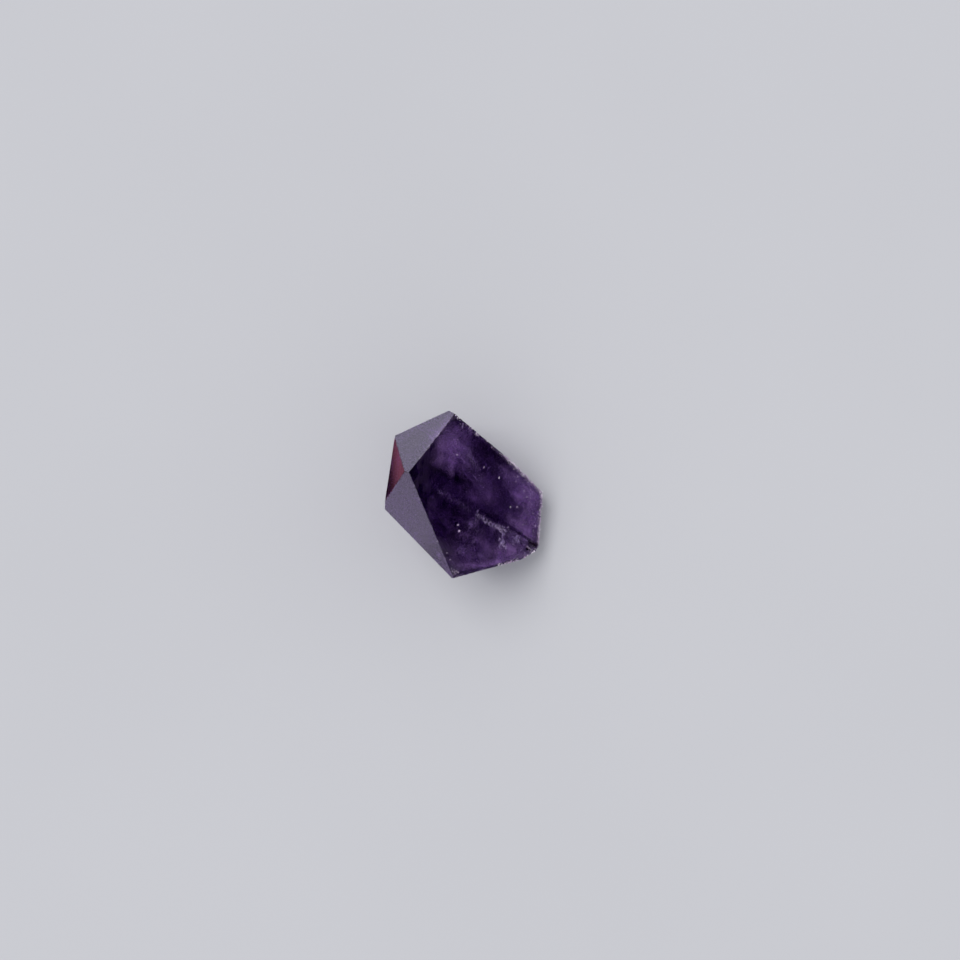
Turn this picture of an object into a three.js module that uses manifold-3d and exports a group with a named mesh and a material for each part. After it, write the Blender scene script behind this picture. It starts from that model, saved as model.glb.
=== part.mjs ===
// Amethyst point: one quartz crystal, cut flat across the bottom so that it stands with its tip up.
// Millimetres, +Z up. The crystal's long axis is vertical and its largest tip face looks towards -Y.
//
// The crystal starts as a block of its full height, and the waste beyond each flat face is ground
// away in turn: first the four faces of the tip, then the sides of the body. Six sides are broad.
// The other two are narrow and turn the body's outline a little beside its lowest rim.

import * as THREE from 'three';
import { mergeVertices } from 'three/addons/utils/BufferGeometryUtils.js';
import Module from 'manifold-3d';

const HEIGHT = 68;

// The starting block's width, and the side of each piece of waste that is taken off it.
const BLOCK_WIDTH = 120;
const WASTE_SIDE = 300;

// Tip faces. Azimuth is the direction that a face looks towards, in degrees from +X, and slope is
// its angle down from level. Offset is how far the face's plane passes outside the tip.
const TIP_FACES = [
  { azimuth: -90, slope: 52, offset: 0 },
  { azimuth: 30, slope: 51.5, offset: 0 },
  { azimuth: 149, slope: 51.5, offset: 0 },
  { azimuth: 89.5, slope: 70, offset: 1 },
];

// Sides. Foot is the side's distance from the tip's axis at the cut bottom, and lean is how many
// degrees the side tilts outwards as it rises.
const SIDES = [
  { azimuth: -85.8, foot: 44.3, lean: 3 },
  { azimuth: -31.9, foot: 21.5, lean: 4 },
  { azimuth: -26.2, foot: 19, lean: 4 },
  { azimuth: 33, foot: 9.5, lean: 3 },
  { azimuth: 88.8, foot: 2.8, lean: 4 },
  { azimuth: 140.3, foot: 9.8, lean: 5 },
  { azimuth: 191.5, foot: 32, lean: 4 },
  { azimuth: 206.5, foot: 39.8, lean: 4 },
];

const amethyst = new THREE.MeshStandardMaterial({
  color: 0x3d2468,
  roughness: 0.12,
  metalness: 0,
  flatShading: true,
});

const wasm = await Module();
wasm.setup();

function toSolid(geometry) {
  const bare = geometry.clone();
  bare.deleteAttribute('normal');
  bare.deleteAttribute('uv');
  const merged = mergeVertices(bare, 1e-5);
  return new wasm.Manifold(new wasm.Mesh({
    numProp: 3,
    vertProperties: new Float32Array(merged.attributes.position.array),
    triVerts: new Uint32Array(merged.index.array),
  }));
}

function toGeometry(solid) {
  const mesh = solid.getMesh();
  const geometry = new THREE.BufferGeometry();
  geometry.setAttribute('position', new THREE.BufferAttribute(mesh.vertProperties, 3));
  geometry.setIndex(new THREE.BufferAttribute(mesh.triVerts, 1));
  geometry.computeVertexNormals();
  return geometry;
}

// The unit vector square to a plane that looks towards azimuth and slopes down from level.
function outwards(azimuth, slope) {
  const turn = THREE.MathUtils.degToRad(azimuth);
  const tilt = THREE.MathUtils.degToRad(slope);
  return new THREE.Vector3(
    Math.sin(tilt) * Math.cos(turn),
    Math.sin(tilt) * Math.sin(turn),
    Math.cos(tilt),
  );
}

// Grinds away everything beyond the plane that passes through a point, square to a direction.
function grind(solid, direction, point) {
  const waste = new THREE.BoxGeometry(WASTE_SIDE, WASTE_SIDE, WASTE_SIDE);
  waste.translate(0, 0, WASTE_SIDE / 2);
  const facing = new THREE.Quaternion().setFromUnitVectors(new THREE.Vector3(0, 0, 1), direction);
  waste.applyQuaternion(facing);
  waste.translate(point.x, point.y, point.z);
  return solid.subtract(toSolid(waste));
}

function buildCrystal() {
  const block = new THREE.BoxGeometry(BLOCK_WIDTH, BLOCK_WIDTH, HEIGHT);
  block.translate(0, 0, HEIGHT / 2);
  let crystal = toSolid(block);

  const tip = new THREE.Vector3(0, 0, HEIGHT);
  for (const face of TIP_FACES) {
    const direction = outwards(face.azimuth, face.slope);
    crystal = grind(crystal, direction, tip.clone().addScaledVector(direction, face.offset));
  }

  for (const side of SIDES) {
    const foot = outwards(side.azimuth, 90).multiplyScalar(side.foot);
    crystal = grind(crystal, outwards(side.azimuth, 90 + side.lean), foot);
  }
  return crystal;
}

// The origin is on the cut bottom, under the middle of the crystal's own box.
const geometry = toGeometry(buildCrystal());
geometry.computeBoundingBox();
const middle = geometry.boundingBox.getCenter(new THREE.Vector3());

const crystal = new THREE.Mesh(geometry, amethyst);
crystal.name = 'amethyst_point';
crystal.position.set(-middle.x, -middle.y, 0);

const model = new THREE.Group();
model.add(crystal);

export default model;
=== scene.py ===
import math
import random

import bmesh
import bpy
from mathutils import Euler, Matrix, Vector, noise


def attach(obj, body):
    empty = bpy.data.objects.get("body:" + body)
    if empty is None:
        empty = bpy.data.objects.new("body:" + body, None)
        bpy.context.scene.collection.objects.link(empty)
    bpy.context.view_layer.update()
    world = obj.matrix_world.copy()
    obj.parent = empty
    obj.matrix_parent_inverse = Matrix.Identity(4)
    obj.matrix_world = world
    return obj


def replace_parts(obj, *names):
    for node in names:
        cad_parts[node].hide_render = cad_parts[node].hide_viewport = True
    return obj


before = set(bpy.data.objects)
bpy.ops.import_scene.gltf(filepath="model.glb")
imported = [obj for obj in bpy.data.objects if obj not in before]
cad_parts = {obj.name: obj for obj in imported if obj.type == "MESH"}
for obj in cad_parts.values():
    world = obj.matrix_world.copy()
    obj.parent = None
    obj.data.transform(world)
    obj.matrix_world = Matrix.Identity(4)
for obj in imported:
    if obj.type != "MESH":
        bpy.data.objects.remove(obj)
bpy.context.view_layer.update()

# An amethyst point: one clear purple quartz crystal with polished tip faces, rough natural sides and a
# sawn bottom that it stands on. Lengths are in millimetres here, and MM turns them into metres where a
# mesh, a lamp or the camera is made.

MM = 0.001
CAD_STONE = "amethyst_point"
SEED = 7


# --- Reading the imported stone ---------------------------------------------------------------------


def same(a, b):
    """Whether two places are one corner of the stone."""
    return (a - b).length < 0.02


def level(vector):
    """The vector without its height, one long."""
    return Vector((vector.x, vector.y, 0)).normalized()


def smooth(value):
    """0 to 1, eased at both ends."""
    t = max(0.0, min(1.0, value))
    return t * t * (3 - 2 * t)


class Face:
    """A flat face of the stone: its outward normal and its corners in order, seen from outside."""

    def __init__(self, normal, corners):
        self.normal = normal
        self.corners = corners
        self.is_tip = normal.z > 0.2
        self.is_bottom = normal.z < -0.9
        self.azimuth = math.atan2(normal.y, normal.x)

    def height_over(self, point):
        """How far outside this face's plane a point lies."""
        return self.normal.dot(point - self.corners[0])

    def put_on(self, point):
        """The point moved straight up or down onto this face's plane."""
        return Vector((point.x, point.y, point.z - self.height_over(point) / self.normal.z))

    def has(self, point):
        """Whether a place is one of this face's corners."""
        return any(same(point, c) for c in self.corners)


class TipFace(Face):
    """A tip face with places in and under it: mm down its slope, across it and deep below it."""

    def __init__(self, normal, corners):
        super().__init__(normal, corners)
        self.origin = max(corners, key=lambda c: c.z)
        self.across = Vector((0, 0, 1)).cross(normal).normalized()
        self.down = self.across.cross(normal).normalized()

    def at(self, down, across, deep):
        """The place this far down the slope from its top corner, across it and below it."""
        return self.origin + self.down * down + self.across * across - self.normal * deep


class Side(Face):
    """A side of the stone, with its rim from left to right and its two foot corners."""

    def __init__(self, normal, corners):
        super().__init__(normal, corners)
        count = len(corners)
        low = [c.z < 0.01 for c in corners]
        start = next(i for i in range(count) if low[i] and not low[(i + 1) % count])
        ring = [corners[(start + 1 + i) % count] for i in range(count)]
        self.rim = [c for c in ring if c.z >= 0.01][::-1]
        self.right_foot = corners[start]
        self.left_foot = corners[start - 1]


def read_faces(node):
    """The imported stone's flat faces, with the triangles of each one joined again."""
    bm = bmesh.new()
    bm.from_mesh(node.data)
    bmesh.ops.remove_doubles(bm, verts=bm.verts, dist=2e-6)
    bmesh.ops.dissolve_limit(bm, angle_limit=math.radians(0.3), verts=bm.verts, edges=bm.edges)
    flat = [(f.normal.copy(), [v.co / MM for v in f.verts]) for f in bm.faces]
    bm.free()
    return flat


faces = [Face(*f) for f in read_faces(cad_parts[CAD_STONE])]
tips = [TipFace(f.normal, f.corners) for f in faces if f.is_tip]
sides = [Side(f.normal, f.corners) for f in faces if not f.is_tip and not f.is_bottom]
sides.sort(key=lambda side: side.azimuth)


# The largest tip face looks towards -Y.
broad_face = min(tips, key=lambda tip: tip.normal.y)
# A place deep under it, which anything sealed in the crystal is drawn back towards.
heart = broad_face.at(40, -6, 12)


def keep_inside(centre, point, margin):
    """The point drawn back towards a centre until it lies this far inside the stone's flat faces."""
    share = 1.0
    for face in faces:
        height, start = face.height_over(point), face.height_over(centre)
        if height > -margin:
            share = min(share, max(0.0, (-margin - start) / (height - start)))
    return centre.lerp(point, share)


# --- The crystal: a grid down its worn sides, flat tip faces and a sawn bottom ---------------------

# The grid: how far apart its columns are, and how far its rows lie below the rim and above the foot.
COLUMN_STEP = 0.42
RIM_ROWS = (0.0, 0.12, 0.28, 0.48, 0.74, 1.08, 1.5, 2.0)
FOOT_ROWS = (1.9, 1.3, 0.85, 0.5, 0.25, 0.1, 0.0)
MIDDLE_ROWS = 100
# Upright corners turn over this far on each side, and are worn back this much over this reach.
CORNER_TURN = 3.0
CORNER_WEAR = 0.35
CORNER_REACH = 0.7
# Ridges between tip faces are rounded off this far.
RIDGE_BEVEL = 0.1
# The rim: how jagged it is all round, how many small chips it has, how far a chip runs down the side
# for each mm that it bites in, and how far below the rim the natural side reaches its full relief.
RIM_JAG = 0.1
SMALL_CHIPS = 150
CHIP_DROP = 2.2
RIM_RAMP = 1.8
# The low corner of the broad face, down and across it, and the larger bites beside that corner: how far
# along the rim from it, half their length and how deep they bite.
LOW_CORNER = (74.7, -21.6)
CORNER_CHIPS = ((0.3, 1.3, 0.8), (-1.9, 0.9, 0.5))
# The foot is worn back this much, over this height.
FOOT_WEAR = 0.35
FOOT_HEIGHT = 1.6


class Column:
    """One upright row of points down a side, from the rim to the foot."""

    def __init__(self, rim, foot, outward, tip, along, corner_wear):
        self.rim = rim
        self.foot = foot
        self.outward = outward
        self.tips = [tip]
        self.along = along
        self.corner_wear = corner_wear
        self.knocked = tip is broad_face
        self.verts = []

    def bitten_rim(self, bite):
        """The rim point moved in by a bite: down a ridge between two tip faces, or over the one face."""
        if len(self.tips) == 1:
            return self.tips[0].put_on(self.rim - self.outward * bite)
        shared = [c for c in self.tips[0].corners if self.tips[1].has(c)]
        far = max(shared, key=lambda c: (c - self.rim).length)
        return self.rim + (far - self.rim).normalized() * bite


def walk_rim():
    """Columns all the way round the stone, counterclockwise from above, and the rim's length."""
    columns = []
    along = 0.0
    for number, side in enumerate(sides):
        left, right = side.rim[0], side.rim[-1]
        across = Vector((-math.sin(side.azimuth), math.cos(side.azimuth), 0))
        span = across.dot(right - left)
        before, after = sides[number - 1].normal, sides[(number + 1) % len(sides)].normal
        for a, b in zip(side.rim, side.rim[1:]):
            tip = next(t for t in tips if t.has(a) and t.has(b))
            steps = max(1, round((b - a).length / COLUMN_STEP))
            for i in range(steps):
                point = a.lerp(b, i / steps)
                from_left = across.dot(point - left)
                foot = side.left_foot.lerp(side.right_foot, from_left / span)
                beside, near = before, from_left
                if from_left > span / 2:
                    beside, near = after, span - from_left
                corner, sharpness = level(side.normal + beside), (side.normal - beside).length
                outward = corner.lerp(level(side.normal), smooth(near / CORNER_TURN)).normalized()
                worn = CORNER_WEAR * sharpness * math.exp(-near / CORNER_REACH)
                place = along + (b - a).length * i / steps
                columns.append(Column(point, foot, outward, tip, place, worn))
            along += (b - a).length
    for before, column in zip([columns[-1]] + columns[:-1], columns):
        if before.tips[-1] is not column.tips[0]:
            column.tips.insert(0, before.tips[-1])
    return columns, along


def chip_depth(along, chips, total):
    """How far the rim is bitten inwards at a place along it."""
    rough = 0.5 + noise.noise(Vector((along * 1.7, 4.0, 0)))
    patchy = 0.5 + noise.noise(Vector((along * 0.2, 0, 0)))
    depth = max(0.0, RIM_JAG * rough * patchy)
    for place, half, bite in chips:
        off = abs((along - place + total / 2) % total - total / 2) / half
        if off < 1:
            depth = max(depth, bite * (1 - off * off) ** 0.75)
    return depth


def rim_chips(columns, rng):
    """Small chips, nearly all of them round the broad face, and the larger bites at its low corner."""
    chips = []
    while len(chips) < SMALL_CHIPS:
        column = rng.choice(columns)
        half = 0.2 + 0.6 * rng.random() ** 2
        if not column.knocked:
            if rng.random() < 0.8:
                continue
            half *= 0.4
        chips.append((column.along, half, half * rng.uniform(0.2, 0.5)))
    low_corner = broad_face.at(*LOW_CORNER, 0)
    corner = min(columns, key=lambda c: (c.rim - low_corner).length)
    for off, half, bite in CORNER_CHIPS:
        chips.append((corner.along + off, half, bite))
    return chips


def hollows(point, size, shift):
    """Shell-shaped hollows side by side: 0 on the ridges between them, 1 in the middle of each."""
    at = Vector((point.x, point.y, point.z * 0.62)) / size + Vector((shift, 0, -shift))
    near = noise.voronoi(at)[0][0]
    return max(0.0, 1 - 1.9 * near * near)


def side_wear(point, below_rim):
    """How far the natural side lies inside its flat plane at a point, or outside it where negative."""
    broken = smooth(1.7 * noise.noise(point * 0.06 + Vector((9, 2, 5))) + 0.5 + below_rim * 0.008)
    sway = 0.5 * noise.noise(point * 0.08)
    shells = 0.9 * hollows(point, 8.0, 3.1) + 0.25 * hollows(point, 3.0, 7.7) - 0.35
    drift = 0.5 * noise.noise(Vector((point.x * 0.12, point.y * 0.12, point.z * 0.05)))
    rise = noise.noise(Vector((point.x * 0.02, point.y * 0.02, point.z * 0.16))) * 6 + drift
    step = rise - math.floor(rise)
    ledge = 0.28 * (step - smooth(step * 1.3 - 0.3))
    line = 0.07 * noise.noise(Vector((point.x * 0.05, point.y * 0.05, point.z * 1.2)))
    grit = 0.05 * noise.noise(point * 1.6) + 0.03 * noise.noise(point * 3.3)
    relief = sway + shells * broken + (ledge + line) * (1 - 0.7 * broken) + grit
    return relief * (0.3 + 0.7 * smooth(below_rim / 12))


def column_rows(length):
    """How far below the rim a column's points lie: close together at the rim and at the foot."""
    first, last = RIM_ROWS[-1], length - FOOT_ROWS[0]
    middle = [first + (last - first) * (i + 1) / (MIDDLE_ROWS + 1) for i in range(MIDDLE_ROWS)]
    return list(RIM_ROWS) + middle + [length - r for r in FOOT_ROWS]


def add_column(bm, column, bite):
    """A column's points from its chipped rim down to its worn foot."""
    fresh = bm.verts.layers.float["fresh"]
    rim = column.bitten_rim(bite)
    down = column.foot - column.rim
    length = down.length
    down.normalize()
    chip_height = max(0.25, bite * CHIP_DROP)
    foot_bite = FOOT_WEAR * (0.7 + noise.noise(column.foot * 0.5))
    made = []
    for row in column_rows(length):
        point = column.rim + down * row
        worn = (side_wear(point, row) + column.corner_wear) * smooth(row / RIM_RAMP)
        below_chip = min(1.0, row / chip_height)
        point = point + (rim - column.rim) * (1 - below_chip) ** 2
        above_foot = min(1.0, (length - row) / FOOT_HEIGHT)
        worn += foot_bite * (1 - above_foot) ** 2
        place = point - column.outward * worn
        if row == length:
            place.z = 0.0
        vert = bm.verts.new(place * MM)
        vert[fresh] = (1 - below_chip) if bite > 0.12 else 0.0
        made.append(vert)
    column.verts = [v.co / MM for v in made]
    return made


def add_sides(bm, grid):
    """The natural sides between the columns, and the sawn bottom."""
    for left, right in zip(grid, grid[1:] + grid[:1]):
        for row in range(len(left) - 1):
            face = bm.faces.new((left[row], left[row + 1], right[row + 1], right[row]))
            face.smooth = True
    bottom = bm.faces.new([made[-1] for made in reversed(grid)])
    bottom[bm.faces.layers.float["polish"]] = 0.5


def add_tip_faces(bm, columns, grid):
    """The flat tip faces, each one round its share of the rim and up over the corners above it."""
    polish = bm.faces.layers.float["polish"]
    count = len(grid)
    crown = {}
    for tip in tips:
        start = next(i for i, c in enumerate(columns) if len(c.tips) == 2 and c.tips[1] is tip)
        ring = []
        for i in range(count):
            if tip not in columns[(start + i) % count].tips:
                break
            ring.append(grid[(start + i) % count][0])
        first, final = columns[start].rim, columns[(start + len(ring) - 1) % count].rim
        last = next(i for i, c in enumerate(tip.corners) if same(c, final))
        for i in range(1, len(tip.corners)):
            corner = tip.corners[(last + i) % len(tip.corners)]
            if same(corner, first):
                break
            key = tuple(round(x, 1) for x in corner)
            if key not in crown:
                crown[key] = bm.verts.new(corner * MM)
            ring.append(crown[key])
        bm.faces.new(ring)[polish] = 1.0


def soften_ridges(bm):
    """A tiny rounding on the ridges where two tip faces meet."""
    polish = bm.faces.layers.float["polish"]
    for edge in bm.edges:
        edge.smooth = all(f.smooth for f in edge.link_faces)
    bm.normal_update()
    ridges = [e for e in bm.edges if all(f[polish] > 0.5 for f in e.link_faces)]
    rounding = RIDGE_BEVEL * MM
    made = bmesh.ops.bevel(bm, geom=ridges, offset=rounding, segments=2, profile=0.5, affect="EDGES")
    for face in made["faces"]:
        face[polish] = 1.0


def build_crystal():
    """The visible stone. Its columns are given back, for what lies just under its sides and rim."""
    columns, total = walk_rim()
    chips = rim_chips(columns, random.Random(SEED))
    bm = bmesh.new()
    bm.faces.layers.float.new("polish")
    bm.verts.layers.float.new("fresh")
    grid = [add_column(bm, column, chip_depth(column.along, chips, total)) for column in columns]
    add_sides(bm, grid)
    add_tip_faces(bm, columns, grid)
    soften_ridges(bm)
    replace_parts(make_piece("amethyst_crystal", bm, amethyst()), CAD_STONE)
    return columns


def make_piece(name, bm, material):
    """A piece of the stone from a finished mesh."""
    mesh = bpy.data.meshes.new(name)
    bm.to_mesh(mesh)
    bm.free()
    piece = bpy.data.objects.new(name, mesh)
    bpy.context.scene.collection.objects.link(piece)
    mesh.materials.append(material)
    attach(piece, "root")
    return piece


# --- Grains: the tiny flakes that clouds, veils and bruises are made of -----------------------------

FOUR_CORNERS = (Vector((1, 1, 1)), Vector((1, -1, -1)), Vector((-1, 1, -1)), Vector((-1, -1, 1)))
FOUR_TRIANGLES = ((0, 1, 2), (0, 3, 1), (0, 2, 3), (1, 3, 2))


def wander(rng, spread):
    """A random step any way."""
    return Vector([rng.gauss(0, spread) for _ in range(3)])


class Grains:
    """Tiny irregular flakes, gathered until they become one piece."""

    def __init__(self, seed):
        self.rng = random.Random(seed)
        self.points = []
        self.triangles = []

    def add(self, place, size):
        """One flake with four corners, turned and bent at random."""
        rng = self.rng
        turn = Euler([rng.uniform(0, math.tau) for _ in range(3)]).to_matrix()
        shape = Vector((1, rng.uniform(0.5, 1), rng.uniform(0.2, 0.6))) * size * 0.5
        first = len(self.points)
        for corner in FOUR_CORNERS:
            bent = Vector([c * s * rng.uniform(0.7, 1.2) for c, s in zip(corner, shape)])
            self.points.append((place + turn @ bent) * MM)
        self.triangles.extend([[first + i for i in t] for t in FOUR_TRIANGLES])

    def make(self, name, material):
        """All the flakes so far as one piece."""
        mesh = bpy.data.meshes.new(name)
        mesh.from_pydata(self.points, [], self.triangles)
        bm = bmesh.new()
        bm.from_mesh(mesh)
        bpy.data.meshes.remove(mesh)
        return make_piece(name, bm, material)


# --- Haze: thin milky layers under the broad face --------------------------------------------------

# Each layer: how deep, how dense, and its outline as places down and across the broad face.
HAZE_LAYERS = (
    (3.5, 0.90, ((9, 3), (15, 12), (23, 19), (30, 16.5), (32.5, 8), (37, 3), (28, -1), (16, 0))),
    (2.5, 0.50, ((8, 4), (14, 13), (20, 19), (27, 17), (24, 10), (16, 5))),
    (4.0, 1.35, ((48, 7), (49, 0), (56, -5), (61, -13), (69, -16), (79, -18), (78, 0), (62, 6))),
    (2.5, 1.75, ((52, -10), (57, -15.5), (66, -20), (77, -22), (80, -16), (76, -8), (64, -6))),
    (3.0, 1.00, ((52, -16), (62, -17.5), (72, -20), (71, -25), (58, -28), (47, -29))),
    (4.0, 0.40, ((27, -16), (44, -15), (57, -21), (51, -29.5), (32, -32), (23, -25))),
    (6.0, 0.45, ((30, 3), (42, 4), (53, -1), (57, -11), (42, -10), (31, -7))),
    (2.5, 1.25, ((31, -27.5), (44, -26.5), (54, -24), (64, -21.5), (70, -25), (54, -34), (37, -37))),
    (2.5, 0.90, ((60, 3), (64, -4), (67, -11), (71, -16), (79, -19), (78, -1), (66, 4))),
)
# The clear band just above the healed crack: its course, and its half width at the start and the end.
CLEAR_BAND = (
    (33, -8.8), (39, -10.3), (45, -12), (51.5, -13.8), (57.7, -15.2), (63.2, -16.8), (72, -19.8),
)
CLEAR_WIDTHS = (1.9, 0.5)
# A layer's grid, how thick it is in its middle and how far it keeps from the stone's faces.
LAYER_RINGS = 26
LAYER_SPOKES = 96
LAYER_THICKNESS = 0.5
LAYER_MARGIN = 1.2
# A ray that comes straight down goes on this far down the broad face for each mm that it sinks inside.
SINK_DRIFT = 0.59


def reach(outline, centre, way):
    """How far it is from a centre to a closed outline, going one way."""
    found = []
    for a, b in zip(outline, outline[1:] + outline[:1]):
        edge, to = b - a, a - centre
        cross = way.x * edge.y - way.y * edge.x
        if abs(cross) > 1e-9:
            far = (to.x * edge.y - to.y * edge.x) / cross
            share = (to.x * way.y - to.y * way.x) / cross
            if far > 0 and -1e-6 <= share <= 1 + 1e-6:
                found.append(far)
    return min(found)


def beside_band(place):
    """0 in the middle of the clear band to 1 just beside it, for a place as it shows from above."""
    nearest, share = 1e9, 0.0
    course = [Vector(c) for c in CLEAR_BAND]
    for number, (a, b) in enumerate(zip(course, course[1:])):
        along = max(0.0, min(1.0, (place - a).dot(b - a) / (b - a).length_squared))
        away = (place - a.lerp(b, along)).length
        if away < nearest:
            nearest, share = away, (number + along) / (len(course) - 1)
    first, final = CLEAR_WIDTHS
    return smooth(1.6 * nearest / (first + (final - first) * share) - 0.6)


def streaks(place, number):
    """Long soft streaks in a layer, side by side along the healed crack: from 0.3 to 1.7."""
    course = Vector(CLEAR_BAND[-1]) - Vector(CLEAR_BAND[0])
    heading = course.normalized()
    along, beside = place.dot(heading), heading.cross(place)
    spot = Vector((along * 0.06, beside * 0.36, number * 2.3))
    return max(0.3, min(1.7, 1 + 1.3 * noise.noise(spot) + 0.5 * noise.noise(spot * 2.4)))


class Layer:
    """A thin closed layer, densest in its middle and fading out to nothing at its edge."""

    def __init__(self, number, deep, dense, outline):
        self.number = number
        self.deep = deep
        self.dense = dense
        self.outline = [Vector(place) for place in outline]
        self.centre = sum(self.outline, Vector((0, 0))) / len(outline)
        self.shift = Vector((number * 3.7, -number * 1.9, number))

    def add_point(self, bm, spoke, share, way_up):
        """A point on the upper or the lower sheet, at a share of the way out along a spoke."""
        turn = math.tau * spoke / LAYER_SPOKES
        way = Vector((math.cos(turn), math.sin(turn)))
        ragged = 1 + 0.3 * noise.noise(Vector((way.x, way.y, 0)) * 2.2 + self.shift)
        flat = self.centre + way * reach(self.outline, self.centre, way) * share * ragged
        lift = 1.5 * noise.noise(Vector((flat.x, flat.y, 0)) * 0.14 + self.shift)
        lift += way_up * 0.5 * LAYER_THICKNESS * (1 - share * share)
        deep = self.deep - lift
        middle = broad_face.at(self.centre.x, self.centre.y, self.deep)
        place = keep_inside(middle, broad_face.at(flat.x, flat.y, deep), LAYER_MARGIN)
        shown = Vector((flat.x - SINK_DRIFT * deep, flat.y))
        clear = beside_band(shown) * streaks(shown, self.number)
        vert = bm.verts.new(place * MM)
        vert[bm.verts.layers.float["cover"]] = self.dense * smooth(1.25 * (1 - share)) * clear
        return vert

    def add_sheet(self, bm, way_up, edge=None):
        """The upper or the lower sheet, from its middle out to its edge. Both share one edge."""
        rows = [[self.add_point(bm, 0, 0.0, way_up)]]
        for ring in range(1, LAYER_RINGS + 1):
            if ring == LAYER_RINGS and edge:
                rows.append(edge)
            else:
                share = ring / LAYER_RINGS
                rows.append([self.add_point(bm, s, share, way_up) for s in range(LAYER_SPOKES)])
        for inner, outer in zip(rows, rows[1:]):
            for spoke in range(LAYER_SPOKES):
                after = (spoke + 1) % LAYER_SPOKES
                around = [inner[spoke % len(inner)], outer[spoke], outer[after]]
                if len(inner) > 1:
                    around.append(inner[after])
                bm.faces.new(around[::way_up]).smooth = True
        return rows[-1]


def build_haze():
    """All the milky layers as one piece."""
    bm = bmesh.new()
    bm.verts.layers.float.new("cover")
    for number, (deep, dense, outline) in enumerate(HAZE_LAYERS):
        layer = Layer(number, deep, dense, outline)
        edge = layer.add_sheet(bm, 1)
        layer.add_sheet(bm, -1, edge)
    make_piece("milky_haze", bm, milky())


# --- Clouds and veils under the broad face ---------------------------------------------------------

# Each cloud: its course as places down and across the broad face in mm, how far it spreads to the left
# and right of it, how shallow and deep it lies, how many grains it has and how large they grow.
CLOUDS = (
    (((20, 0), (30, -3), (60, -8)), (8, 8), (3, 12), 900, 0.2),
    (((14, 5), (19, 11), (25, 15)), (3.4, 3.0), (1.5, 7), 1300, 0.2),
    (((27, 16), (28.6, 8), (32.5, 5), (33, 2)), (0.5, 3.6), (1.5, 6), 900, 0.2),
    (((21, 11.5), (24, 9.3), (29, 7.2)), (1.1, 1.3), (1, 3), 650, 0.22),
    (((11, 10), (18, 17)), (1.4, 1.4), (0.5, 3), 500, 0.2),
    (((40, 2), (50, -4), (60, -12)), (5, 4), (3, 9), 900, 0.2),
    (((50, 4.5), (51, 1), (55, -0.5), (67, -12.5)), (3.5, 0.8), (2, 7), 1500, 0.21),
    (((56, 2.5), (66, -3), (72, -9), (73, -15)), (2.8, 2.8), (2, 7), 4200, 0.22),
    (((57, -18.5), (64, -20.5), (68, -20)), (2.0, 2.4), (2, 7), 1400, 0.2),
    (((33, -17), (44, -19), (56, -23)), (4.0, 3.8), (2.5, 9), 1700, 0.2),
    (((34, -27.5), (44, -28.5), (56, -25)), (1.8, 1.6), (2, 7), 800, 0.2),
    (((33.5, -14.6), (35.5, -15.2)), (0.6, 0.6), (1, 4), 170, 0.3),
    (((31.5, -23), (33.5, -23.6)), (0.8, 0.8), (1, 4), 130, 0.28),
    (((20.5, -26), (22, -26.8)), (0.6, 0.6), (1, 3), 60, 0.26),
    (((41, -24.5), (43, -25)), (0.7, 0.7), (1, 4), 90, 0.26),
    (((52, -25), (54.5, -25.4)), (0.8, 0.6), (1, 4), 120, 0.26),
)
# The healed crack that runs down towards the foot of the broad face, with its branches.
VEIL_STRANDS = (
    (((15, -5), (24, -7.5), (31, -9.8), (37, -11.2)), (0.5, 0.5), (1, 6), 170, 0.36),
    (((36.5, -11.3), (42.4, -12.9), (48.8, -15.1), (53, -16.3)), (0.5, 0.5), (0.6, 7), 340, 0.42),
    (((45, -14.1), (47.2, -15), (49, -15.4)), (0.5, 0.5), (0.5, 3), 60, 0.5),
    (((51.3, -15.8), (53.3, -16.6), (53.9, -15.8)), (0.7, 0.7), (0.5, 3), 80, 0.5),
    (((53, -17), (52.7, -18.3), (52.9, -19.9), (53.5, -22.1)), (0.45, 0.45), (0.6, 5), 130, 0.45),
    (((52.9, -19.6), (55.2, -21.2), (56.2, -22.2)), (0.35, 0.35), (0.6, 3), 50, 0.45),
    (((55, -16.8), (60, -18.2), (64, -19.2), (67, -20)), (0.9, 1.2), (1, 6), 260, 0.42),
    (((61.2, -17.2), (61.5, -18.4), (62.4, -19.4)), (0.5, 0.5), (0.6, 3), 55, 0.7),
    (((38, -12), (37, -13.5), (35, -15)), (0.5, 0.5), (1, 5), 40, 0.4),
    (((34, 5), (34.5, 3), (37, -1), (38.5, -4)), (0.9, 0.9), (1, 9), 90, 0.45),
    (((57, 3), (60, 1), (66, -1.5), (71, -4)), (1.6, 1.6), (1, 5), 90, 0.5),
    (((19.4, 11.2), (22.3, 9.9), (25.1, 8.9), (29.3, 6.6), (32.4, 4.6)), (0.7, 0.7), (0.8, 3), 100, 0.4),
    (((21.4, 17.3), (22.6, 16.6), (23.3, 15.6), (23.2, 17.4)), (0.1, 0.1), (0.2, 0.5), 70, 0.4),
)
# Where bright sparks gather on the healed crack: their course, how far they stray from it and how many.
SPARKS = (
    (((36.5, -11.3), (42.4, -12.9), (45.5, -14.2)), 0.45, 9),
    (((45.5, -14.2), (48.8, -15.1), (51.5, -16)), 0.5, 14),
    (((51.5, -15.6), (53.3, -16.6), (54.6, -15.6)), 0.6, 16),
    (((52.9, -16.8), (52.7, -18.3), (52.9, -19.9), (53.5, -22.1)), 0.4, 15),
    (((52.9, -19.6), (55.2, -21.2), (56.2, -22.2)), 0.3, 6),
    (((61.2, -17.2), (61.5, -18.4), (62.4, -19.4)), 0.45, 6),
    (((55, -17), (60, -19.5), (67, -22)), 1.6, 8),
)
SPARK_GRAINS = 8


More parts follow.
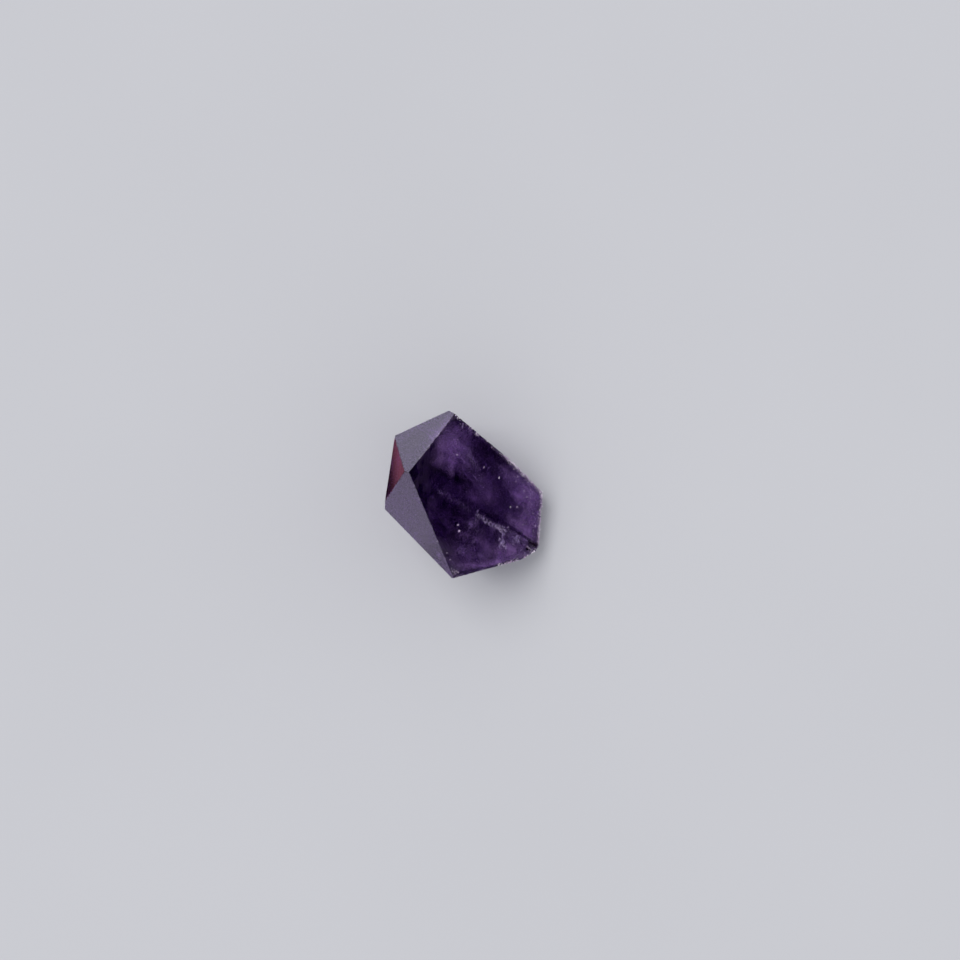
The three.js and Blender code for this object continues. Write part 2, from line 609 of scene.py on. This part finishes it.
def along_course(course, share):
    """The place and the heading at a share of the way along a course of straight stretches."""
    lengths = [(b - a).length for a, b in zip(course, course[1:])]
    left = share * sum(lengths)
    for a, b, length in zip(course, course[1:], lengths):
        if left <= length:
            break
        left -= length
    return a.lerp(b, left / length), (b - a) / length


def strew(grains, rows, wispy, wisp_size, smallest, size_bend):
    """Grains strewn along courses under the broad face, gathered into wisps and kept off the band.

    Wispy is how strongly they gather, wisp size is in mm, smallest is the smallest share of a row's
    largest grain, and a higher size bend makes more of the grains small."""
    rng = grains.rng
    for course, (left, right), (shallow, deep), count, largest in rows:
        course = [Vector(c) for c in course]
        made = 0
        while made < count:
            place, heading = along_course(course, rng.random())
            beside = Vector((-heading.y, heading.x))
            aside = rng.gauss(0, 1)
            place = place + beside * aside * (left if aside > 0 else right)
            place = place + heading * rng.gauss(0, 1) * min(left, right)
            depth = shallow + (deep - shallow) * rng.random() ** 1.6
            at = broad_face.at(place.x + SINK_DRIFT * depth, place.y + 0.1 * depth, depth)
            spot = Vector((place.x, place.y, 0.25 * depth)) / wisp_size
            wisp = noise.noise(spot) + 0.6 * noise.noise(spot * 3.3)
            if wisp * wispy > rng.uniform(-1, 1) and beside_band(place) > 0.6:
                size = largest * (smallest + (1 - smallest) * rng.random() ** size_bend)
                grains.add(keep_inside(heart, at, 0.25), size)
                made += 1


def build_clouds():
    """Soft clouds of the finest grains."""
    grains = Grains(SEED + 1)
    strew(grains, CLOUDS, 0.7, 4.0, 0.5, 1.5)
    grains.make("milky_clouds", grain_matter("milky_grains", (0.47, 0.31, 0.7), (0.64, 0.44, 0.84)))


def add_sparks(grains):
    """Bright sparks: knots of grains close under the face."""
    rng = grains.rng
    for course, stray, count in SPARKS:
        course = [Vector(c) for c in course]
        for _ in range(count):
            place, _heading = along_course(course, rng.random())
            across = place.y + rng.gauss(0, stray)
            down, deep = place.x + 1.7 * rng.gauss(0, stray), rng.uniform(0.45, 0.9)
            size = rng.uniform(0.25, 0.62)
            for _ in range(SPARK_GRAINS):
                at = broad_face.at(down + SINK_DRIFT * deep, across, deep) + wander(rng, 0.4 * size)
                grains.add(at, size * rng.uniform(0.5, 1.1))


def build_veil():
    """The healed crack: fine strands of grains with bright sparks on them."""
    grains = Grains(SEED + 2)
    strew(grains, VEIL_STRANDS, 2.6, 0.7, 0.25, 2.2)
    add_sparks(grains)
    grains.make("healed_crack_veil", grain_matter("veil_grains", (0.76, 0.6, 0.95), (0.93, 0.8, 1.0)))


# Wavy cloudy layers in the pale root: height, how wavy and how many grains. They are drawn in a square
# that is this wide to each side of the middle, and only what lies inside the stone is kept.
ROOT_LAYERS = ((3.0, 1.2, 3600), (6.0, 2.0, 3200), (9.5, 2.6, 2200), (13.5, 3.2, 1300))
ROOT_REACH = 27
# Veils deeper in the body: centre, how far it reaches, the way it faces and how many grains.
BODY_VEILS = (
    ((-9, 8, 26), 13, (0.5, 0.35, 0.8), 1900),
    ((10, 10, 32), 11, (-0.8, 0.5, 0.35), 1300),
    ((-14, -4, 20), 11, (0.3, -0.9, 0.5), 1300),
    ((12, -6, 17), 10, (0.7, 0.6, -0.3), 1100),
)


def outside_by(place):
    """How far a place lies outside the stone's flat faces, less than 0 inside."""
    return max(face.height_over(place) for face in faces)


def add_root_layers(grains):
    """Wavy cloudy layers across the root."""
    rng = grains.rng
    for height, wavy, count in ROOT_LAYERS:
        made = 0
        while made < count:
            x, y = rng.uniform(-ROOT_REACH, ROOT_REACH), rng.uniform(-ROOT_REACH, ROOT_REACH)
            at = Vector((x, y, height))
            at.z += wavy * noise.noise(Vector((at.x, at.y, height)) * 0.09) + rng.gauss(0, 0.25 * wavy)
            patch = noise.noise(at * 0.12) + 0.5 * noise.noise(at * 0.5)
            if outside_by(at) < -0.6 and patch > rng.uniform(-0.6, 0.7):
                grains.add(at, rng.uniform(0.15, 0.45))
                made += 1


def add_body_veils(grains):
    """Wispy veils deeper in the body."""
    rng = grains.rng
    for centre, radius, facing, count in BODY_VEILS:
        centre, facing = Vector(centre), Vector(facing).normalized()
        first = facing.orthogonal().normalized()
        second = facing.cross(first)
        made = 0
        while made < count:
            turn, far = rng.uniform(0, math.tau), radius * rng.random() ** 0.6
            at = centre + first * math.cos(turn) * far + second * math.sin(turn) * far
            at += facing * (2.2 * noise.noise(at * 0.12) + rng.gauss(0, 0.1))
            wisp = noise.noise(at * 0.25) + 0.7 * noise.noise(at * 0.8)
            if wisp > rng.uniform(-0.2, 0.6) + 0.4 * far / radius:
                if outside_by(at) < -1.0:
                    grains.add(at, rng.uniform(0.08, 0.3))
                made += 1


def build_root_clouds():
    """The layers in the root and the veils in the body, seen mostly from the sides."""
    grains = Grains(SEED + 3)
    add_root_layers(grains)
    add_body_veils(grains)
    grains.make("root_clouds", grain_matter("root_grains", (0.76, 0.64, 0.88), (0.92, 0.84, 0.96)))


SKIN_GRAINS = 22000


def build_skin_haze(columns):
    """Cloudy spots just under the natural sides, in bands along the growth and thicker near the root."""
    grains = Grains(SEED + 5)
    rng = grains.rng
    made = 0
    while made < SKIN_GRAINS:
        number = rng.randrange(len(columns))
        column, beside = columns[number - 1], columns[number]
        row = rng.randrange(len(column.verts) - 1)
        left = column.verts[row].lerp(column.verts[row + 1], rng.random())
        right = beside.verts[row].lerp(beside.verts[row + 1], rng.random())
        at = left.lerp(right, rng.random())
        band = noise.noise(Vector((at.x * 0.06, at.y * 0.06, at.z * 0.5)))
        spot = noise.noise(at * 0.16) + 0.5 * noise.noise(at * 0.6)
        root = 0.7 * smooth(1 - at.z / 26) - 0.35 * smooth((at.z - 24) / 12)
        if 0.8 * band + 0.9 * spot + root > rng.uniform(0.0, 1.1):
            sunk = at - column.outward * (0.25 + 1.6 * rng.random() ** 1.5)
            below_tip = -max(f.height_over(sunk) for f in tips)
            if at.z > 0.6 and below_tip > (2 if column.knocked else 9):
                grains.add(sunk, rng.uniform(0.1, 0.3))
            made += 1
    grains.make("skin_haze", grain_matter("skin_grains", (0.6, 0.44, 0.78), (0.82, 0.7, 0.92)))


# --- Bruises: crushed spots on the rims, specks on the polish and a painted chip shadow -------------

# Places down and across the broad face, and how large each speck is.
SPECKS = (
    ((22.4, 7.1), 0.4), ((37.4, 4.2), 0.4), ((46.5, 1.4), 0.5), ((28.8, -16.9), 0.7),
    ((27.8, -15.0), 0.5), ((55.2, -7.9), 0.45), ((59.0, -7.7), 0.45), ((54.3, 4.9), 0.5),
    ((54.1, 6.8), 0.6), ((26.1, -26.3), 0.4), ((24.1, -24.1), 0.35), ((72.8, -22.4), 0.6),
    ((65.9, -1.5), 0.4), ((64.1, -4.0), 0.35), ((61.9, -2.1), 0.35), ((57.1, 2.6), 0.4),
    ((56.4, 0.8), 0.35), ((62.4, -4.4), 0.3), ((55.4, 2.4), 0.3), ((71.5, -13.7), 0.35),
    ((70.8, -15.4), 0.3), ((64, -13.6), 0.25), ((53.5, 6.8), 0.5),
)
SPECK_GRAINS = 9
# Courses of painted chip shadow, as dark flakes: places on the broad face, spread and how many flakes.
CHIP_SHADOW_FLAKES = (
    (((69.4, -19.3), (72.5, -20.5), (74.6, -20.1)), 0.4, 230),
    (((67.6, -21.6), (70.3, -22.5)), 0.15, 60),
)
# Courses of crushed quartz: places on the broad face, spread, how many grains, largest.
BRUISES = (
    (((27.5, -28.9), (30, -30.4), (31.4, -31.0)), 0.5, 150, 0.5),
    (((68.2, -20.9), (71.3, -22.0)), 0.1, 150, 0.5),
    (((4, 4.0), (17.5, 18.6)), 0.2, 240, 0.38),
    (((6, -7.0), (27, -29.5)), 0.12, 60, 0.3),
    (((20, 18.4), (30, 14.8), (50, 7.6)), 0.2, 50, 0.35),
)


def build_painted_chip_shadow():
    """Painted shade: dark flakes standing in for the shadow in the chipped low corner of the broad face."""
    grains = Grains(SEED + 6)
    rng = grains.rng
    for course, spread, count in CHIP_SHADOW_FLAKES:
        course = [Vector(c) for c in course]
        for _ in range(count):
            place, _heading = along_course(course, rng.random())
            deep = rng.uniform(0.3, 1.6)
            down, across = place.x + 1.6 * rng.gauss(0, spread), place.y + rng.gauss(0, spread)
            at = broad_face.at(down + SINK_DRIFT * deep, across, deep)
            grains.add(keep_inside(heart, at, 0.3), rng.uniform(0.15, 0.55))
    grains.make("painted_chip_shadow", grain_matter("chip_shadow_flakes", (0.02, 0.008, 0.02), (0.05, 0.02, 0.06)))


def add_specks(grains):
    """Bright specks on the polish of the broad face."""
    rng = grains.rng
    for (down, across), size in SPECKS:
        for _ in range(SPECK_GRAINS):
            spread = size * 0.22
            at = broad_face.at(down + rng.gauss(0, spread), across + rng.gauss(0, spread), 0.06)
            grains.add(keep_inside(heart, at, 0.05), size * rng.uniform(0.6, 1.0))


def add_crushed_courses(grains):
    """Crushed quartz along courses on the broad face, in gatherings."""
    rng = grains.rng
    for course, spread, count, largest in BRUISES:
        course = [Vector(c) for c in course]
        for _ in range(count):
            place, _heading = along_course(course, rng.random())
            gather = 0.45 + noise.noise(Vector((place.x, place.y, 0)) * 0.7)
            if gather > rng.random():
                at = broad_face.at(place.x + rng.gauss(0, spread), place.y + rng.gauss(0, spread), 0.15)
                grains.add(keep_inside(heart, at, 0.12), largest * (0.3 + 0.7 * rng.random() ** 2))


def add_rim_flecks(grains, columns):
    """Bright flecks along the rim of the broad face, and sparse crumbs inside its low stretches."""
    rng = grains.rng
    for column in columns:
        rim = column.verts[0]
        likely = (0.7 + 1.1 * noise.noise(rim * 0.45)) * (0.3 if rim.z > 30 else 0.7)
        right_rim = rim.x > -14 and rim.z < 30
        if column.knocked and rim.x > -22 and likely + 0.5 * right_rim > rng.random():
            for _ in range(8 if right_rim else 5):
                inward = 0.08 + 0.9 * rng.random() ** 2.5
                at = broad_face.put_on(rim - column.outward * inward + wander(rng, 0.1))
                grains.add(at, rng.uniform(0.12, 0.5) * (1 - 0.4 * inward))
        if column.knocked and rim.z < 22 and rng.random() < 0.6:
            inward = 0.4 + 2.4 * rng.random() ** 2
            at = broad_face.put_on(rim - column.outward * inward + wander(rng, 0.2))
            grains.add(keep_inside(heart, at, 0.1), rng.uniform(0.15, 0.36))


def build_bruises(columns):
    """Every crushed spot on the stone."""
    grains = Grains(SEED + 4)
    add_specks(grains)
    add_crushed_courses(grains)
    add_rim_flecks(grains, columns)
    grains.make("bruises", grain_matter("crushed_quartz", (0.6, 0.45, 0.64), (0.92, 0.84, 0.93)))


# --- Colour zones and painted shade: bodies of deeper purple inside the crystal ---------------------

# Each zone: middle down, across and below the broad face, half length, half width, half depth, and how
# far its length is turned from straight down, in degrees.
# The third row, the two rows along the healed crack and the small one at the low corner are painted shade:
# dark bodies that stand in for shadow and dark reflection. The others darken the purple.
ZONES = (
    (23.0, -0.6, 6.5, 15.5, 3.9, 5.0, -4),
    (21.5, -9.4, 6.0, 12.0, 3.4, 5.0, -15),
    (41.0, 9.5, 5.5, 13.5, 3.8, 4.4, -21),
    (46.0, -12.0, 4.4, 12.5, 1.5, 5.0, -14),
    (63.5, -16.9, 4.0, 9.0, 0.6, 4.4, -16),
    (72.3, -20.3, 1.9, 3.2, 1.7, 1.9, -32),
    (30.0, -18.0, 15.0, 17.0, 7.0, 4.0, 10),
    (12.0, 5.0, 13.0, 10.0, 6.0, 4.0, 30),
)


def build_zones():
    """All the zones as one piece, each a rounded body with a ragged outline."""
    bm = bmesh.new()
    for number, (down, across, deep, long, wide, thick, turn) in enumerate(ZONES):
        made = bmesh.ops.create_icosphere(bm, subdivisions=5, radius=1.0)
        turned = Matrix.Rotation(math.radians(turn), 2)
        middle = broad_face.at(down + SINK_DRIFT * deep, across, deep)
        shift = Vector((number * 3.1, 0, -number))
        for vert in made["verts"]:
            x, y, z = vert.co
            ragged = 1 + 0.5 * noise.noise(Vector((x, y, 0)) * 1.6 + shift)
            uneven = 0.8 + noise.noise(Vector((x * long, y * wide, 0)) * 0.3 + shift)
            lift = 1.6 * noise.noise(Vector((x * long, y * wide, 0)) * 0.12 + shift)
            spread = turned @ Vector((x * long, y * wide)) * ragged
            depth = deep + z ** 5 * thick * uneven + lift
            place = broad_face.at(down + spread.x + SINK_DRIFT * depth, across + spread.y, depth)
            vert.co = keep_inside(middle, place, LAYER_MARGIN) * MM
    # Down, across and deep turn the other way round than x, y and z, so the bodies came out inside out.
    bmesh.ops.reverse_faces(bm, faces=bm.faces)
    for face in bm.faces:
        face.smooth = True
    make_piece("colour_zones_and_painted_shade", bm, deeper_purple_and_painted_shade())


# --- Camera and studio ----------------------------------------------------------------------------

# The camera: how far it is from the tip, how far to the left of the middle of its view and above it the
# tip lies, the way it looks from, how it is turned, and its lens.
TIP_DISTANCE = 399.4
TIP_LEFT = 21.46
TIP_ABOVE = 2.33
LOOK_AZIMUTH = 51.4
LOOK_ELEVATION = 88.22
LOOK_TURN = 7.74
LENS = 49.6
SENSOR = 36
# The room's even light, and the lamp: strength, how wide it is in degrees, azimuth and elevation.
ROOM_COLOUR = (0.935, 0.945, 1)
ROOM_LIGHT = 0.63
LAMP_STRENGTH = 1.6
LAMP_WIDTH = 34
LAMP_PLACE = (60, 60)
FLOOR_SIZE = 40000
# The floor paper lies this far below the sawn bottom, so that the two never share a plane.
FLOOR_GAP = 0.05


def direction(azimuth, elevation):
    """The unit vector towards an azimuth and an elevation in degrees."""
    a, e = math.radians(azimuth), math.radians(elevation)
    return Vector((math.cos(a) * math.cos(e), math.sin(a) * math.cos(e), math.sin(e)))


def build_camera():
    """Almost straight above the tip, with the broad tip face running down to the right."""
    back = direction(LOOK_AZIMUTH, LOOK_ELEVATION)
    right = direction(LOOK_TURN, 0).cross(back).normalized()
    up = back.cross(right)
    data = bpy.data.cameras.new("camera")
    data.lens = LENS
    data.sensor_width = SENSOR
    camera = bpy.data.objects.new("camera", data)
    stand = Matrix((right, up, back)).transposed().to_4x4()
    place = broad_face.origin + back * TIP_DISTANCE + right * TIP_LEFT - up * TIP_ABOVE
    stand.translation = place * MM
    camera.matrix_world = stand
    bpy.context.scene.collection.objects.link(camera)
    bpy.context.scene.camera = camera


def panel(name, width, height):
    """A flat sheet of the given size in mm, lying at the origin."""
    bm = bmesh.new()
    bmesh.ops.create_grid(bm, x_segments=1, y_segments=1, size=0.5 * MM)
    bmesh.ops.scale(bm, vec=(width, height, 1), verts=bm.verts)
    mesh = bpy.data.meshes.new(name)
    bm.to_mesh(mesh)
    bm.free()
    made = bpy.data.objects.new(name, mesh)
    bpy.context.scene.collection.objects.link(made)
    return made


def faded_across(nodes, links, colour, heading, start, end, share):
    """The colour fading across a flat sheet: the way it goes, in degrees up from level, where in mm the
    fading starts and ends, and the share of the colour that is left."""
    along = nodes.new("ShaderNodeVectorMath")
    along.operation = "DOT_PRODUCT"
    along.inputs[1].default_value = direction(heading, 0)
    links.new(nodes.new("ShaderNodeTexCoord").outputs["Object"], along.inputs[0])
    tone = nodes.new("ShaderNodeMapRange")
    tone.interpolation_type = "SMOOTHSTEP"
    tone.inputs["From Min"].default_value = start * MM
    tone.inputs["From Max"].default_value = end * MM
    links.new(along.outputs["Value"], tone.inputs["Value"])
    return mixed_colour(nodes, links, tone.outputs["Result"], colour, [c * share for c in colour])


def reflector(name, azimuth, distance, width, height, colour, strength, fade=None):
    """A card standing by the stone that only shows as a reflection in it, with its fading if it has any."""
    card = panel(name, width, height)
    card.matrix_world = (
        Matrix.Rotation(math.radians(azimuth), 4, "Z")
        @ Matrix.Translation(Vector((distance, 0, height / 2 + 0.5)) * MM)
        @ Matrix.Rotation(math.radians(90), 4, "Z")
        @ Matrix.Rotation(math.radians(90), 4, "X")
    )
    material, nodes, links, shader = new_material(name)
    shader.inputs["Base Color"].default_value = (0, 0, 0, 1)
    shader.inputs["Specular IOR Level"].default_value = 0
    shader.inputs["Emission Strength"].default_value = strength
    shader.inputs["Emission Color"].default_value = (*colour, 1)
    if fade:
        links.new(faded_across(nodes, links, colour, *fade), shader.inputs["Emission Color"])
    card.data.materials.append(material)
    card.visible_camera = False
    card.visible_diffuse = False
    card.visible_transmission = False
    card.visible_volume_scatter = False
    card.visible_shadow = False


def floor_paper():
    """Matt pale paper, very slightly uneven in tone."""
    material, nodes, links, shader = new_material("floor_paper")
    shader.inputs["Roughness"].default_value = 0.85
    shader.inputs["Specular IOR Level"].default_value = 0.0
    place = nodes.new("ShaderNodeTexCoord").outputs["Object"]
    mask = add_patches(nodes, links, place, 6, 2)
    colour = mixed_colour(nodes, links, mask, (0.567, 0.57, 0.591), (0.579, 0.582, 0.603))
    links.new(colour, shader.inputs["Base Color"])
    return material


def build_studio():
    """The floor, the room's even light, one broad soft lamp and the cards that the stone mirrors."""
    floor = panel("floor", FLOOR_SIZE, FLOOR_SIZE)
    floor.location.z = -FLOOR_GAP * MM
    floor.data.materials.append(floor_paper())

    world = bpy.data.worlds.new("studio")
    world.use_nodes = True
    room = world.node_tree.nodes["Background"]
    room.inputs["Color"].default_value = (*ROOM_COLOUR, 1)
    room.inputs["Strength"].default_value = ROOM_LIGHT
    bpy.context.scene.world = world

    lamp = bpy.data.lights.new("soft_light", "SUN")
    lamp.angle = math.radians(LAMP_WIDTH)
    lamp.energy = LAMP_STRENGTH
    light = bpy.data.objects.new("soft_light", lamp)
    light.rotation_euler = direction(*LAMP_PLACE).to_track_quat("Z", "Y").to_euler()
    bpy.context.scene.collection.objects.link(light)

    # Pale cards for the two pale tip faces, a rose one for the smallest face, and a dark one for the
    # broad face, which turns into the room's own tone towards its top.
    reflector("light_card_upper", 30, 130, 110, 62, (0.81, 0.73, 1.02), 2.7)
    reflector("light_card_lower", 149, 130, 110, 62, (0.82, 0.69, 1.06), 1.9, (0, -4, 12, 0.66))
    reflector("rose_card", 89.5, 56, 60, 44, (0.88, 0.26, 0.46), 0.76, (109, 0, -7.1, 0.1))
    reflector("dark_card", -90, 52, 130, 80, ROOM_COLOUR, ROOM_LIGHT, (90, 38, 12, 0))
    bpy.context.scene.view_settings.view_transform = "Standard"


# --- Materials ------------------------------------------------------------------------------------

# How much the quartz bends light, its tint, and how strongly it takes light away for each metre. The deeper
# zones, partly painted shade, have a tint and a strength of their own.
QUARTZ_IOR = 1.544
QUARTZ_TINT = (0.475, 0.285, 0.62)
QUARTZ_DEPTH = 86
DEEPER_TINT = (0.42, 0.3, 0.5)
DEEPER_DEPTH = 200


def new_material(name):
    """A new material with its nodes, links and Principled shader."""
    material = bpy.data.materials.new(name)
    material.use_nodes = True
    tree = material.node_tree
    return material, tree.nodes, tree.links, tree.nodes["Principled BSDF"]


def new_group(name, inputs, outputs):
    """A shader node group with named sockets, and its own input and output nodes."""
    group = bpy.data.node_groups.new(name, "ShaderNodeTree")
    for title, kind in inputs:
        group.interface.new_socket(title, in_out="INPUT", socket_type=kind)
    for title, kind in outputs:
        group.interface.new_socket(title, in_out="OUTPUT", socket_type=kind)
    return group, group.nodes.new("NodeGroupInput"), group.nodes.new("NodeGroupOutput")


def stretched(nodes, links, vector, scale):
    """The vector scaled by its own amount along each axis."""
    mapping = nodes.new("ShaderNodeMapping")
    mapping.inputs["Scale"].default_value = scale
    links.new(vector, mapping.inputs["Vector"])
    return mapping.outputs["Vector"]


def noise_at(nodes, links, vector, scale, detail):
    """Noise from 0 to 1."""
    texture = nodes.new("ShaderNodeTexNoise")
    texture.inputs["Scale"].default_value = scale
    texture.inputs["Detail"].default_value = detail
    links.new(vector, texture.inputs["Vector"])
    return texture.outputs["Fac"]


def calculate(nodes, links, operation, *values):
    """A math node on sockets or plain numbers."""
    node = nodes.new("ShaderNodeMath")
    node.operation = operation
    for socket, value in zip(node.inputs, values):
        if isinstance(value, (int, float)):
            socket.default_value = value
        else:
            links.new(value, socket)
    return node.outputs["Value"]


def make_patches_group():
    """Soft patches from 0 to 1, for whatever is uneven in a material."""
    sockets = [("Vector", "NodeSocketVector"), ("Scale", "NodeSocketFloat"), ("Detail", "NodeSocketFloat")]
    group, given, result = new_group("soft_patches", sockets, [("Mask", "NodeSocketFloat")])
    texture = group.nodes.new("ShaderNodeTexNoise")
    group.links.new(given.outputs["Vector"], texture.inputs["Vector"])
    group.links.new(given.outputs["Scale"], texture.inputs["Scale"])
    group.links.new(given.outputs["Detail"], texture.inputs["Detail"])
    spread = group.nodes.new("ShaderNodeMapRange")
    spread.interpolation_type = "SMOOTHSTEP"
    spread.inputs["From Min"].default_value = 0.3
    spread.inputs["From Max"].default_value = 0.7
    group.links.new(texture.outputs["Fac"], spread.inputs["Value"])
    group.links.new(spread.outputs["Result"], result.inputs["Mask"])
    return group


soft_patches = make_patches_group()


def add_patches(nodes, links, vector, scale, detail):
    """The soft patches group placed in a material, with its own scale and detail."""
    node = nodes.new("ShaderNodeGroup")
    node.node_tree = soft_patches
    node.inputs["Scale"].default_value = scale
    node.inputs["Detail"].default_value = detail
    links.new(vector, node.inputs["Vector"])
    return node.outputs["Mask"]


def attribute(nodes, name):
    """A value that the mesh carries."""
    node = nodes.new("ShaderNodeAttribute")
    node.attribute_name = name
    return node.outputs["Fac"]


def mixed_colour(nodes, links, mask, first, second):
    """The first colour where the mask is 0, the second where it is 1."""
    mix = nodes.new("ShaderNodeMix")
    mix.data_type = "RGBA"
    mix.inputs["A"].default_value = (*first, 1)
    mix.inputs["B"].default_value = (*second, 1)
    links.new(mask, mix.inputs["Factor"])
    return mix.outputs["Result"]


def absorb(nodes, links, tint, depth):
    """Light taken away inside the piece: its tint, and how strongly for each metre."""
    absorption = nodes.new("ShaderNodeVolumeAbsorption")
    absorption.inputs["Color"].default_value = (*tint, 1)
    absorption.inputs["Density"].default_value = depth
    links.new(absorption.outputs["Volume"], nodes["Material Output"].inputs["Volume"])


def quartz_roughness(nodes, links, place, polish):
    """Patchily worn sides, glossier where freshly chipped, and a faint smear on the polish."""
    worn = add_patches(nodes, links, place, 120, 4)
    worn = calculate(nodes, links, "MULTIPLY_ADD", worn, 0.3, 0.12)
    unbroken = calculate(nodes, links, "SUBTRACT", 1.15, attribute(nodes, "fresh"))
    side_roughness = calculate(nodes, links, "MULTIPLY", worn, unbroken)
    smear = add_patches(nodes, links, place, 300, 3)
    polish_roughness = calculate(nodes, links, "MULTIPLY_ADD", smear, 0.05, 0.01)
    roughness = nodes.new("ShaderNodeMix")
    links.new(polish, roughness.inputs["Factor"])
    links.new(side_roughness, roughness.inputs["A"])
    links.new(polish_roughness, roughness.inputs["B"])
    return roughness.outputs["Result"]


def quartz_relief(nodes, links, place, polish):
    """Growth lines and pits on the sides, and the faintest scratches on the polish."""
    natural = calculate(nodes, links, "SUBTRACT", 1, polish)
    lines = noise_at(nodes, links, stretched(nodes, links, place, (0.06, 0.06, 1)), 1500, 3)
    pits = noise_at(nodes, links, place, 1100, 2)
    scratches = noise_at(nodes, links, stretched(nodes, links, place, (1, 0.3, 0.5)), 900, 2)
    relief = calculate(nodes, links, "ADD", lines, calculate(nodes, links, "MULTIPLY", pits, 0.7))
    relief = calculate(nodes, links, "MULTIPLY", relief, natural)
    shallow = calculate(nodes, links, "MULTIPLY", polish, 0.0025)
    fine = calculate(nodes, links, "MULTIPLY", scratches, shallow)
    bump = nodes.new("ShaderNodeBump")
    bump.inputs["Strength"].default_value = 0.5
    bump.inputs["Distance"].default_value = 0.3 * MM
    links.new(calculate(nodes, links, "ADD", relief, fine), bump.inputs["Height"])
    return bump.outputs["Normal"]


def amethyst():
    """Clear purple quartz: polished on the tip faces, worn and finely ridged on the natural sides."""
    material, nodes, links, shader = new_material("amethyst")
    shader.inputs["Transmission Weight"].default_value = 1
    shader.inputs["IOR"].default_value = QUARTZ_IOR
    shader.inputs["Base Color"].default_value = (1, 1, 1, 1)
    place = nodes.new("ShaderNodeTexCoord").outputs["Object"]
    polish = attribute(nodes, "polish")
    links.new(quartz_roughness(nodes, links, place, polish), shader.inputs["Roughness"])
    links.new(quartz_relief(nodes, links, place, polish), shader.inputs["Normal"])
    absorb(nodes, links, QUARTZ_TINT, QUARTZ_DEPTH)
    return material


def grain_matter(name, dull, bright):
    """Matt matter sealed in the crystal, from duller to brighter in soft patches."""
    material, nodes, links, shader = new_material(name)
    shader.inputs["Roughness"].default_value = 0.8
    shader.inputs["Specular IOR Level"].default_value = 0.2
    place = nodes.new("ShaderNodeTexCoord").outputs["Object"]
    mask = add_patches(nodes, links, place, 260, 1)
    links.new(mixed_colour(nodes, links, mask, dull, bright), shader.inputs["Base Color"])
    return material


def milky():
    """Haze: matter so thin that most light passes it, thinner still in soft patches."""
    material, nodes, links, shader = new_material("milky_haze")
    shader.inputs["Roughness"].default_value = 0.9
    shader.inputs["Specular IOR Level"].default_value = 0.0
    place = nodes.new("ShaderNodeTexCoord").outputs["Object"]
    mask = add_patches(nodes, links, place, 170, 4)
    colour = mixed_colour(nodes, links, mask, (0.56, 0.33, 0.8), (0.69, 0.43, 0.9))
    links.new(colour, shader.inputs["Base Color"])
    thickness = calculate(nodes, links, "MULTIPLY_ADD", mask, 0.3, 0.15)
    alpha = calculate(nodes, links, "MULTIPLY", thickness, attribute(nodes, "cover"))
    links.new(alpha, shader.inputs["Alpha"])
    return material


def deeper_purple_and_painted_shade():
    """Nothing shows at its boundary: it only takes more light away from what passes through it, as deeper
    colour and as painted shade.
    """
    material, nodes, links, shader = new_material("deeper_purple_and_painted_shade")
    shader.inputs["Base Color"].default_value = (0.2, 0.05, 0.35, 1)
    shader.inputs["Alpha"].default_value = 0
    absorb(nodes, links, DEEPER_TINT, DEEPER_DEPTH)
    return material


build_camera()
build_studio()
columns = build_crystal()
build_haze()
build_clouds()
build_veil()
build_root_clouds()
build_skin_haze(columns)
build_bruises(columns)
build_painted_chip_shadow()
build_zones()
